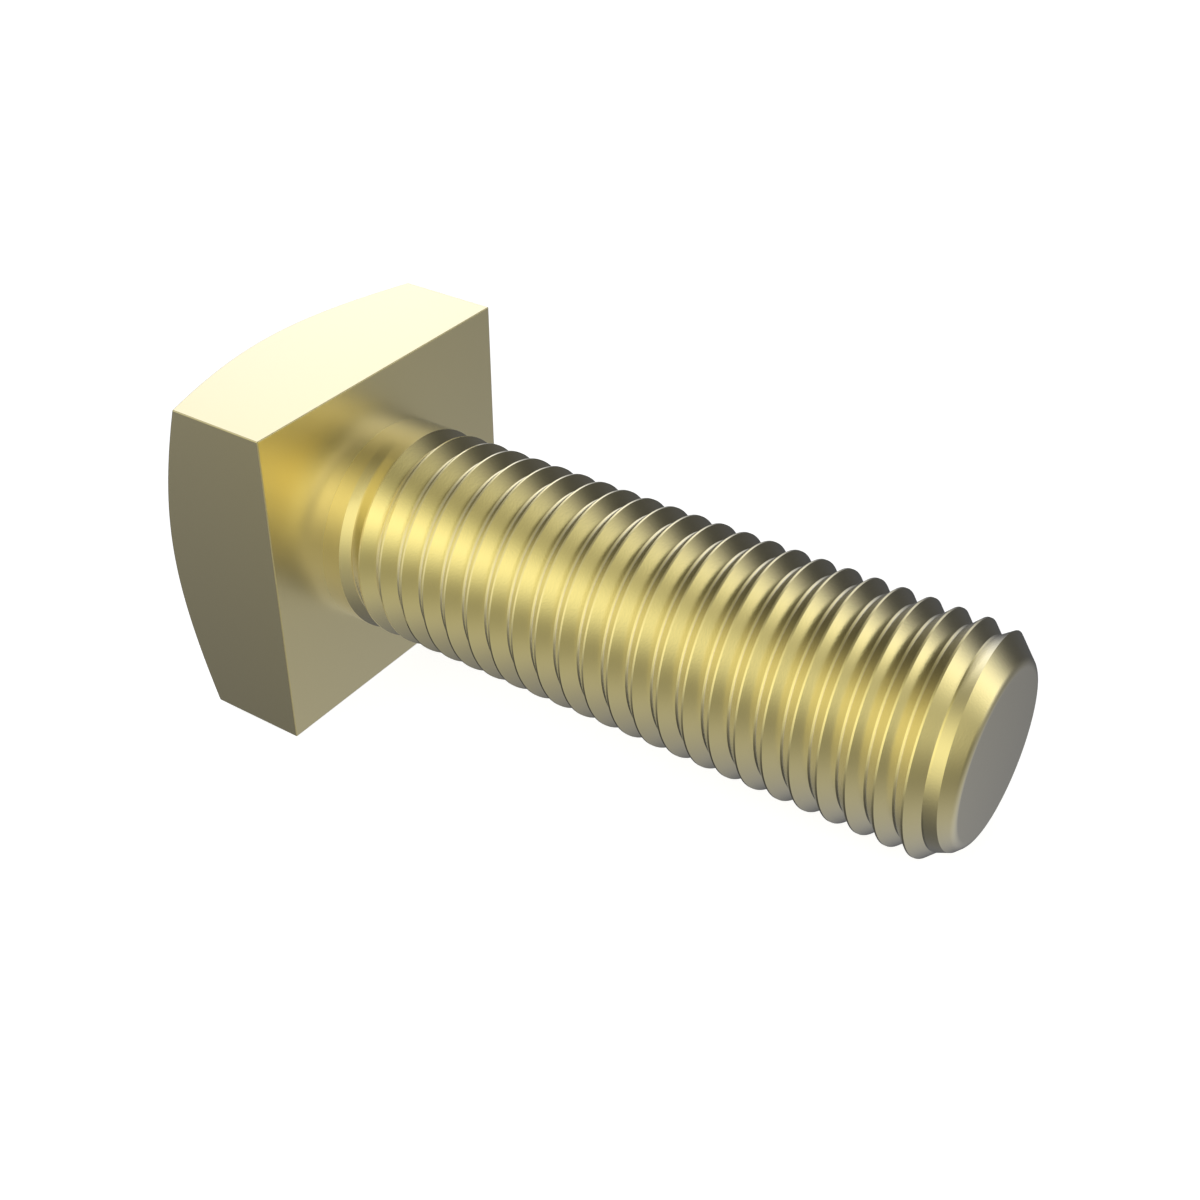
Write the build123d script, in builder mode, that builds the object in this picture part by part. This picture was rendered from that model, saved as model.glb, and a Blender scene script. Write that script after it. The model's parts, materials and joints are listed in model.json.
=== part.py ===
from build123d import *
import math
import os

# A heavy square head bolt, 1 3/8 inch across with 6 threads to the inch, threaded up to its head.
# It is one piece. It is first drawn straight, with its axis along +X, the tip at the far end and
# the bearing face of the head in the YZ plane, and is then laid down as it rests on a table.
# Places along the bolt are distances from the bearing face. Angles round it run from +Y to +Z.

# Head: a square block with flat sides, its top turned to a low cone that leaves a flat circle
across_flats = 55.2
side_height = 22.7
top_circle_diameter = 52.4
head_chamfer_angle = 25.0

# Shank, thread included, and the flat at its point, which is turned to a cone of 45 degrees
thread_diameter = 34.7
shank_length = 106.8
point_diameter = 27.0

# Thread: a right-hand V groove that leaves a narrow flat on the crest
threads_per_inch = 6
thread_depth = 1.8
crest_flat = 0.3

# Where the groove's middle starts, and the part of a turn over which it deepens from nothing
groove_start = 4.57
groove_start_angle = 98.0
run_out_turns = 0.45

# Sizes of the head that follow
half_square = across_flats / 2
top_radius = top_circle_diameter / 2
head_chamfer_slope = math.tan(math.radians(head_chamfer_angle))
head_height = side_height + head_chamfer_slope * (half_square - top_radius)
clear_radius = across_flats

# Sizes of the shank that follow
thread_radius = thread_diameter / 2
root_radius = thread_radius - thread_depth
point_radius = point_diameter / 2
chamfer_start = shank_length - (thread_radius - point_radius)

# Sizes of the groove that follow
pitch = 25.4 / threads_per_inch
mouth_half = (pitch - crest_flat) / 2
flank_slope = mouth_half / thread_depth

# The groove's cutter stands this far out of the metal. Its next turn passes close beside it, so
# this stays a small share of the crest's flat
cutter_rise = crest_flat / 6
cutter_radius = thread_radius + cutter_rise
cutter_half = mouth_half + flank_slope * cutter_rise

# Turns from the start of the groove to where its wall nearer the tip meets the point's cone, and
# to where the groove has left the metal. Between the two, the top of that wall follows the cone,
# so it sinks as fast as the groove advances
turns_to_cone = (chamfer_start - mouth_half - groove_start) / pitch
turns_to_end = turns_to_cone + 1
sunk_wall_radius = root_radius + (thread_depth - pitch) * cutter_half / mouth_half

# The round bar is longer than the shank until its point is turned
bar_length = shank_length + 2 * pitch


def groove_section(turns, bottom_radius, tip_wall_radius):
    """Section of the groove's cutter, on the half plane through the axis after so many turns.

    Its bottom and the top of its wall nearer the tip lie at the radii given.
    """
    angle = math.radians(groove_start_angle + 360 * turns)
    half_plane = Plane(
        origin=(groove_start + pitch * turns, 0, 0),
        x_dir=(1, 0, 0),
        z_dir=(0, -math.sin(angle), math.cos(angle)),
    )
    with BuildSketch(half_plane) as section:
        with BuildLine():
            Polyline(
                (-cutter_half, cutter_radius),
                (0, bottom_radius),
                (cutter_half, tip_wall_radius),
                (cutter_half, cutter_radius + cutter_rise),
                close=True,
            )
        make_face()
    return section.sketch.face()


def groove_cutter(first, last):
    """Cutter for a stretch of the groove, between two sections given as for groove_section."""
    turns = last[0] - first[0]
    start = (groove_start + pitch * first[0], 0, 0)
    helix = Edge.make_helix(pitch, pitch * turns, thread_radius, center=start, normal=(1, 0, 0))
    # A helix about +X starts at +Z
    helix = helix.rotate(Axis.X, groove_start_angle - 90 + 360 * first[0])
    return sweep(
        sections=[groove_section(*first), groove_section(*last)],
        path=helix,
        multisection=True,
        is_frenet=True,
    )


# The run-out at the head, the full groove in stretches of no more than two turns, and the last
# turn, whose wall nearer the tip sinks with the cone
full_turns = turns_to_cone - run_out_turns
stretches = math.ceil(full_turns / 2)
groove_stages = [
    (0, thread_radius + cutter_rise / 2, cutter_radius),
    *[(run_out_turns + full_turns * i / stretches, root_radius, cutter_radius) for i in range(stretches + 1)],
    (turns_to_end, root_radius, sunk_wall_radius),
]
groove_cutters = [groove_cutter(*stretch) for stretch in zip(groove_stages, groove_stages[1:])]

with BuildPart() as straight_bolt:
    # Square head, its corners taken down by the cone round the top circle
    with BuildSketch(Plane.YZ):
        Rectangle(across_flats, across_flats)
    extrude(amount=-head_height)
    with BuildSketch(Plane.XZ):
        with BuildLine():
            Polyline(
                (0, 0),
                (-head_height, 0),
                (-head_height, top_radius),
                (-head_height + head_chamfer_slope * (clear_radius - top_radius), clear_radius),
                (0, clear_radius),
                close=True,
            )
        make_face()
    revolve(axis=Axis.X, mode=Mode.INTERSECT)

    # Round bar
    with BuildSketch(Plane.YZ):
        Circle(thread_radius)
    extrude(amount=bar_length)

    # Thread
    for cutter in groove_cutters:
        add(cutter, mode=Mode.SUBTRACT)

    # Point: everything past the cone and the end face is turned away
    with BuildSketch(Plane.XZ):
        with BuildLine():
            Polyline(
                (chamfer_start - cutter_rise * 2, thread_radius + cutter_rise * 2),
                (shank_length, point_radius),
                (shank_length, 0),
                (bar_length + pitch, 0),
                (bar_length + pitch, thread_radius + cutter_rise * 2),
                close=True,
            )
        make_face()
    revolve(axis=Axis.X, mode=Mode.SUBTRACT)

# The bolt rests on the lower edge of the bearing face and on the last whole crest under the
# shank. Crests pass the underside once in each turn, at the far edge of their flat
first_low_crest = groove_start + pitch * (270 - groove_start_angle) / 360 - mouth_half
whole_crests = math.floor((chamfer_start - first_low_crest) / pitch)
resting_crest = first_low_crest + pitch * whole_crests
tilt = math.atan((half_square - thread_radius) / resting_crest)

# Half way between the two ends of the tilted bolt, which are the rim of the top circle at its
# lowest and the rim of the end face at its highest
head_end = -head_height * math.cos(tilt) - top_radius * math.sin(tilt)
tip_end = shank_length * math.cos(tilt) + point_radius * math.sin(tilt)
middle = (head_end + tip_end) / 2

# The bolt as it lies: tip down, the table at Z = 0 and the middle of its length at X = 0
with BuildPart() as bolt:
    with Locations((-middle, 0, half_square * math.cos(tilt))):
        add(straight_bolt.part, rotation=(0, math.degrees(tilt), 0))

bolt.part.label = "bolt"
os.makedirs("parts", exist_ok=True)
export_step(bolt.part, "parts/bolt.step")
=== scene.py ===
import json
import math

import bmesh
import bpy
from mathutils import Matrix, Vector


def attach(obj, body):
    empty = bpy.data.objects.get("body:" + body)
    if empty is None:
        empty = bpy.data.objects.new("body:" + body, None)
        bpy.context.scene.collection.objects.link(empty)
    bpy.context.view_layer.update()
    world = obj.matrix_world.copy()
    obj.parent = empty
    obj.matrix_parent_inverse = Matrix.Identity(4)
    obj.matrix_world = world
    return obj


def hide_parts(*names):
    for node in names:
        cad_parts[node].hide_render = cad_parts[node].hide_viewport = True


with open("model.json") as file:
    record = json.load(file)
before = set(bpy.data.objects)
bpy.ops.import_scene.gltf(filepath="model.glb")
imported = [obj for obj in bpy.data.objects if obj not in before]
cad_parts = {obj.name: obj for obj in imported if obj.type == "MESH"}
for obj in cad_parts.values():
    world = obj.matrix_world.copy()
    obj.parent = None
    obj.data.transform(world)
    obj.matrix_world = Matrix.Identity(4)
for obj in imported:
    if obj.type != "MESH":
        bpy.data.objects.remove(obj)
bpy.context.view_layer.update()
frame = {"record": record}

MM = 0.001

# Tolerances: points this near are one, a cut passes through points this near to it, and a point
# this share of a column away from the nearest of the spin's columns is a stray
weld_distance = 0.001 * MM
cut_distance = 0.0001 * MM
stray_share = 0.01

# Head: a square with a low cone of 25 degrees that leaves a flat circle on its top
half_square = 27.6 * MM
side_height = 22.7 * MM
top_radius = 26.2 * MM
cone_slope = math.tan(math.radians(25))
head_height = side_height + cone_slope * (half_square - top_radius)
head_edge = 0.14 * MM
head_edge_segments = 2

# Shank, to the outside of its thread, and its flat point, turned to a cone and rounded at the rim
thread_radius = 17.35 * MM
shank_length = 106.8 * MM
point_radius = 13.5 * MM
point_angle = math.radians(45)
point_rim = 2 * MM
point_rim_steps = 12

# Thread: a right-hand groove with a narrow flat at its root and another left on the crest
pitch = 25.4 / 6 * MM
thread_depth = 1.8 * MM
crest_flat = 0.3 * MM
root_flat = 0.3 * MM
groove_start = 4.57 * MM
groove_start_angle = math.radians(98)
run_out_turns = 0.45
steps_per_turn = 192

# Sizes of the groove that follow
mouth_half = (pitch - crest_flat) / 2
root_half = root_flat / 2
root_radius = thread_radius - thread_depth

# Half way out from the shank to the sides of the head, past the corner where the two meet
past_corner = (thread_radius + half_square) / 2

# Faces that meet at less than the first are shaded as one, and at more than the second are
# broken by a bevel on the head
smooth_angle = math.radians(4)
sharp_angle = math.radians(12)

# Camera: its place from the bearing face's middle, its lens and sensor in millimetres, and the
# nearest that it sees in metres
camera_place = Vector((5.7798, -6.3049, 5.34)) * half_square
camera_yaw = math.radians(124.1967)
camera_pitch = math.radians(35.0108)
camera_lens = 50
camera_sensor = 36
camera_nearest = 0.01

# Floor, and the backdrop that it turns up into, in metres
floor_radius = 3
backdrop_height = 4
floor_colour = (0.5, 0.5, 0.5, 1)
floor_glow = 0.85

# Soft lights of the studio: bearing from +X towards +Y, height over the horizon and spread, in
# degrees, and strength
soft_lights = [
    (-30, 20, 16, 1.25),  # beside the tip, on the camera's side
    (28, 17, 14, 1.3),  # beyond the tip
    (-105, 27, 31, 1.2),  # behind the camera's left side
    (130, 30, 20, 1.25),  # behind the head
    (-55, -40, 20, 0.35),  # up from the floor, in front
    (30, -52, 27, 0.45),  # up from the floor, beyond the tip
]

# Brass: its colour, and how rough it is on the head, on the bearing face and on the shank. The
# bearing face's own finish ends this far to either side of it
brass_colour = (0.9, 0.76, 0.264, 1)
head_roughness = 0.26
bearing_face_roughness = 0.32
shank_roughness = 0.2
finish_margin = 0.05 * MM

# The brass's fine grain
grain_scale = 3500.0
grain_detail = 2.0
grain_depth = 0.04 * MM
grain_strength = 0.2

# How fast the brass pales towards a low angle
paling_strength = 1.05
paling_power = 1.3


def mount(name):
    """The record's mount of that name."""
    return next(m for m in frame["record"]["mounts"] if m["name"] == name)


def lying_pose():
    """Takes the straight bolt, with its axis on X from the bearing face, to where it lies."""
    axis = Vector(mount("bearing_face")["axis"])
    middle = Vector(mount("bearing_face")["pos_m"]) * Vector((1, 0, 1))
    return Matrix.Translation(middle) @ Matrix.Rotation(math.atan2(-axis.z, axis.x), 4, "Y")


LYING = lying_pose()


class Socket:
    """An output socket, so that sums on it are written as plain Python."""

    def __init__(self, nodes, output):
        self.nodes = nodes
        self.output = output

    def _math(self, operation, *values):
        return self.nodes.node("ShaderNodeMath", {"operation": operation}, dict(enumerate(values)))

    def __add__(self, other):
        return self._math("ADD", self, other)

    __radd__ = __add__

    def __mul__(self, other):
        return self._math("MULTIPLY", self, other)

    __rmul__ = __mul__

    def __sub__(self, other):
        return self._math("SUBTRACT", self, other)

    def __rsub__(self, other):
        return self._math("SUBTRACT", other, self)

    def __pow__(self, other):
        return self._math("POWER", self, other)

    def __rpow__(self, other):
        return self._math("POWER", other, self)


class Nodes:
    """The nodes of a material or of the sky, from an empty tree."""

    def __init__(self, owner):
        owner.use_nodes = True
        self.tree = owner.node_tree
        self.tree.nodes.clear()

    def node(self, kind, settings=None, sockets=None, output=0):
        """A node of that type. Sockets are given by name or number, as a value or as a link."""
        node = self.tree.nodes.new(kind)
        for key, value in (settings or {}).items():
            setattr(node, key, value)
        for key, value in (sockets or {}).items():
            if isinstance(value, Socket):
                self.tree.links.new(value.output, node.inputs[key])
            else:
                node.inputs[key].default_value = value
        return Socket(self, node.outputs[output]) if node.outputs else None

    def along(self, vector, direction):
        """How far a vector reaches in that direction."""
        settings = {"operation": "DOT_PRODUCT"}
        return self.node("ShaderNodeVectorMath", settings, {0: vector, 1: direction}, output="Value")


def brass():
    """Satin yellow brass, softest on the bearing face and brightest on the shank.

    As on any metal, its colour pales where it is seen at a low angle.
    """
    material = bpy.data.materials.new("satin_brass")
    nodes = Nodes(material)
    place = nodes.node("ShaderNodeTexCoord", output="Object")
    grain = nodes.node(
        "ShaderNodeTexNoise",
        sockets={"Vector": place, "Scale": grain_scale, "Detail": grain_detail},
    )
    bump = nodes.node(
        "ShaderNodeBump",
        sockets={"Height": grain, "Strength": grain_strength, "Distance": grain_depth},
    )
    bolt_axis = LYING.to_3x3() @ Vector((1, 0, 0))
    along = nodes.along(place, bolt_axis)
    bearing_face = LYING.translation.dot(bolt_axis)
    past_sides, on_shank = [
        nodes.node("ShaderNodeMath", {"operation": "GREATER_THAN"}, {0: along, 1: limit})
        for limit in (bearing_face - finish_margin, bearing_face + finish_margin)
    ]
    roughness = head_roughness + past_sides * (bearing_face_roughness - head_roughness)
    roughness = roughness + on_shank * (shank_roughness - bearing_face_roughness)
    low_angle = nodes.node("ShaderNodeLayerWeight", sockets={"Blend": 0.5}, output="Facing")
    metal, pale_metal = [
        nodes.node(
            "ShaderNodeBsdfPrincipled",
            sockets={"Base Color": colour, "Metallic": 1.0, "Roughness": roughness, "Normal": bump},
        )
        for colour in (brass_colour, (1, 1, 1, 1))
    ]
    paling = paling_strength * low_angle**paling_power
    surface = nodes.node("ShaderNodeMixShader", sockets={0: paling, 1: metal, 2: pale_metal})
    nodes.node("ShaderNodeOutputMaterial", sockets={"Surface": surface})
    return material


def around(vert):
    """Angle of a point round the bolt's axis, from +Y towards +Z."""
    return math.atan2(vert.co.z, vert.co.y)


def put(vert, along, radius):
    """Moves a point to that distance along the axis and from it, at the angle it has."""
    angle = around(vert)
    vert.co = (along, radius * math.cos(angle), radius * math.sin(angle))


def screw_sheet(bm):
    """The outside of the bar as one long screw surface, well past both ends of the shank."""
    profile_angle = math.pi / 2
    shift = pitch * (profile_angle - groove_start_angle) / math.tau
    last_turn = math.ceil(shank_length / pitch) + 1
    profile = []
    for turn in range(-2, last_turn):
        middle = groove_start + shift + pitch * turn
        for offset, radius in (
            (-mouth_half, thread_radius),
            (-root_half, root_radius),
            (root_half, root_radius),
            (mouth_half, thread_radius),
        ):
            profile.append(bm.verts.new((middle + offset, 0, radius)))
    edges = [bm.edges.new(pair) for pair in zip(profile, profile[1:])]
    bmesh.ops.spin(
        bm,
        geom=profile + edges,
        cent=(0, 0, 0),
        axis=(1, 0, 0),
        dvec=(pitch / steps_per_turn, 0, 0),
        angle=math.tau,
        steps=steps_per_turn,
        use_merge=False,
        use_duplicate=False,
    )
    bmesh.ops.remove_doubles(bm, verts=bm.verts, dist=weld_distance)


def cut_thread(bm):
    """Fades the groove in at the head, and takes everything down to the point's cone."""
    for vert in bm.verts:
        phase = (around(vert) - groove_start_angle) / math.tau % 1
        turns_along = (vert.co.x - groove_start) / pitch - phase
        turns = round(turns_along) + phase
        at_root = abs(turns_along - round(turns_along)) * pitch < mouth_half / 2
        depth = thread_depth * min(max(turns / run_out_turns, 0), 1)
        radius = thread_radius - depth if at_root else thread_radius
        cone_radius = point_radius + (shank_length - vert.co.x) * math.tan(point_angle)
        put(vert, vert.co.x, min(radius, cone_radius))


def open_loop(bm, along):
    """The edges of the open end that lies at that distance along the axis."""
    ends = [e for e in bm.edges if e.is_boundary]
    return [e for e in ends if all(abs(v.co.x - along) < weld_distance for v in e.verts)]


def cut_off(bm, along, towards):
    """Cuts the sheet square at that distance, and keeps only the spin's own columns on the cut."""
    bmesh.ops.bisect_plane(
        bm,
        geom=bm.verts[:] + bm.edges[:] + bm.faces[:],
        dist=cut_distance,
        plane_co=(along, 0, 0),
        plane_no=(towards, 0, 0),
        clear_outer=True,
    )
    rim = {v for e in open_loop(bm, along) for v in e.verts}
    column = math.tau / steps_per_turn
    stray = [v for v in rim if abs(around(v) / column - round(around(v) / column)) > stray_share]
    bmesh.ops.dissolve_verts(bm, verts=stray)
    return open_loop(bm, along)


def grow(bm, loop, place):
    """Extrudes a loop and puts each new point where place says, from the angle it has."""
    made = bmesh.ops.extrude_edge_only(bm, edges=loop)["geom"]
    for vert in (g for g in made if isinstance(g, bmesh.types.BMVert)):
        put(vert, *place(around(vert)))
    return [g for g in made if isinstance(g, bmesh.types.BMEdge)]


def square_radius(angle):
    """Distance from the axis to the head's side at that angle."""
    return half_square / max(abs(math.cos(angle)), abs(math.sin(angle)))


def cone_along(radius):
    """Distance along the axis of the head's cone at that radius."""
    return cone_slope * (radius - top_radius) - head_height


def close_point(bm):
    """Rounds the rim of the end face and closes it."""
    rim_length = point_rim * math.tan(point_angle / 2)
    loop = cut_off(bm, shank_length - rim_length * math.cos(point_angle), 1)
    for i in range(1, point_rim_steps + 1):
        angle = point_angle * (1 - i / point_rim_steps)
        along = shank_length - point_rim * (1 - math.cos(angle))
        radius = point_radius - rim_length + point_rim * math.sin(angle)
        loop = grow(bm, loop, lambda _: (along, radius))
    bmesh.ops.edgeloop_fill(bm, edges=loop)


def grow_head(bm):
    """Grows the bearing face, the sides, the cone and the top out of the shank's end."""
    loop = cut_off(bm, 0, -1)
    loop = grow(bm, loop, lambda angle: (0, square_radius(angle)))
    loop = grow(bm, loop, lambda angle: (cone_along(square_radius(angle)), square_radius(angle)))
    loop = grow(bm, loop, lambda angle: (-head_height, top_radius))
    bmesh.ops.edgeloop_fill(bm, edges=loop)


def break_head_edges(bm):
    """Bevels the sharp edges of the head, apart from the corner where the shank meets it."""
    on_head = [v for v in bm.verts if v.co.x < weld_distance]
    outside = {v for v in on_head if math.hypot(v.co.y, v.co.z) > past_corner}
    edges = [e for e in bm.edges if outside.issuperset(e.verts) and e.calc_face_angle(0) > sharp_angle]
    bmesh.ops.bevel(
        bm,
        geom=edges,
        offset=head_edge,
        offset_type="OFFSET",
        segments=head_edge_segments,
        profile=0.5,
        affect="EDGES",
        clamp_overlap=True,
        material=-1,
    )


def dressed_bolt():
    """The bolt with its thread, as one closed mesh where it lies."""
    bm = bmesh.new()
    screw_sheet(bm)
    cut_thread(bm)
    close_point(bm)
    grow_head(bm)
    bmesh.ops.recalc_face_normals(bm, faces=bm.faces)
    break_head_edges(bm)
    for face in bm.faces:
        face.smooth = True
    for edge in bm.edges:
        edge.smooth = edge.calc_face_angle(0) < smooth_angle
    bm.transform(LYING)
    mesh = bpy.data.meshes.new("threaded_bolt")
    bm.to_mesh(mesh)
    bm.free()
    piece = bpy.data.objects.new("threaded_bolt", mesh)
    bpy.context.scene.collection.objects.link(piece)
    mesh.materials.append(brass())
    return piece


def camera():
    """The camera, level with the bolt's own axis as in the photograph."""
    forward = Vector(
        (
            math.cos(camera_yaw) * math.cos(camera_pitch),
            math.sin(camera_yaw) * math.cos(camera_pitch),
            -math.sin(camera_pitch),
        )
    )
    data = bpy.data.cameras.new("camera")
    data.lens = camera_lens
    data.sensor_width = camera_sensor
    data.clip_start = camera_nearest
    eye = bpy.data.objects.new("camera", data)
    turn = forward.to_track_quat("-Z", "Y").to_matrix().to_4x4()
    eye.matrix_world = LYING @ Matrix.Translation(camera_place) @ turn
    bpy.context.scene.collection.objects.link(eye)
    bpy.context.scene.camera = eye


def floor():
    """A plain white floor, turned up at its rim into a backdrop.

    Reflections leave it out and it blocks no light, so the bolt mirrors only the soft lights
    and itself.
    """
    bm = bmesh.new()
    bmesh.ops.create_circle(bm, cap_ends=True, segments=64, radius=floor_radius)
    rim = [e for e in bm.edges if e.is_boundary]
    wall = bmesh.ops.extrude_edge_only(bm, edges=rim)["geom"]
    raised = [g for g in wall if isinstance(g, bmesh.types.BMVert)]
    bmesh.ops.translate(bm, verts=raised, vec=(0, 0, backdrop_height))
    mesh = bpy.data.meshes.new("floor")
    bm.to_mesh(mesh)
    bm.free()
    ground = bpy.data.objects.new("floor", mesh)
    bpy.context.scene.collection.objects.link(ground)
    paint = bpy.data.materials.new("white_floor")
    nodes = Nodes(paint)
    white = nodes.node("ShaderNodeBsdfDiffuse", sockets={"Color": floor_colour})
    glow = nodes.node("ShaderNodeEmission", sockets={"Strength": floor_glow})
    surface = nodes.node("ShaderNodeAddShader", sockets={0: white, 1: glow})
    nodes.node("ShaderNodeOutputMaterial", sockets={"Surface": surface})
    mesh.materials.append(paint)
    ground.visible_glossy = False
    ground.visible_diffuse = False
    ground.visible_shadow = False


def sky():
    """Soft lights all round, each a glow that fades out from its middle."""
    world = bpy.data.worlds.new("sky")
    bpy.context.scene.world = world
    nodes = Nodes(world)
    direction = nodes.node("ShaderNodeTexCoord", output="Generated")
    light = 0.0
    for bearing, height, spread, strength in soft_lights:
        raised = Matrix.Rotation(math.radians(-height), 3, "Y") @ Vector((1, 0, 0))
        middle = Matrix.Rotation(math.radians(bearing), 3, "Z") @ raised
        falling = (nodes.along(direction, middle) - 1) * (1 / math.radians(spread) ** 2)
        light = light + strength * math.e**falling
    glow = nodes.node("ShaderNodeBackground", sockets={"Color": (1, 1, 1, 1), "Strength": light})
    nodes.node("ShaderNodeOutputWorld", sockets={"Surface": glow})


piece = dressed_bolt()
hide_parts("bolt")
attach(piece, "root")

camera()
floor()
sky()
bpy.context.scene.view_settings.view_transform = "Standard"
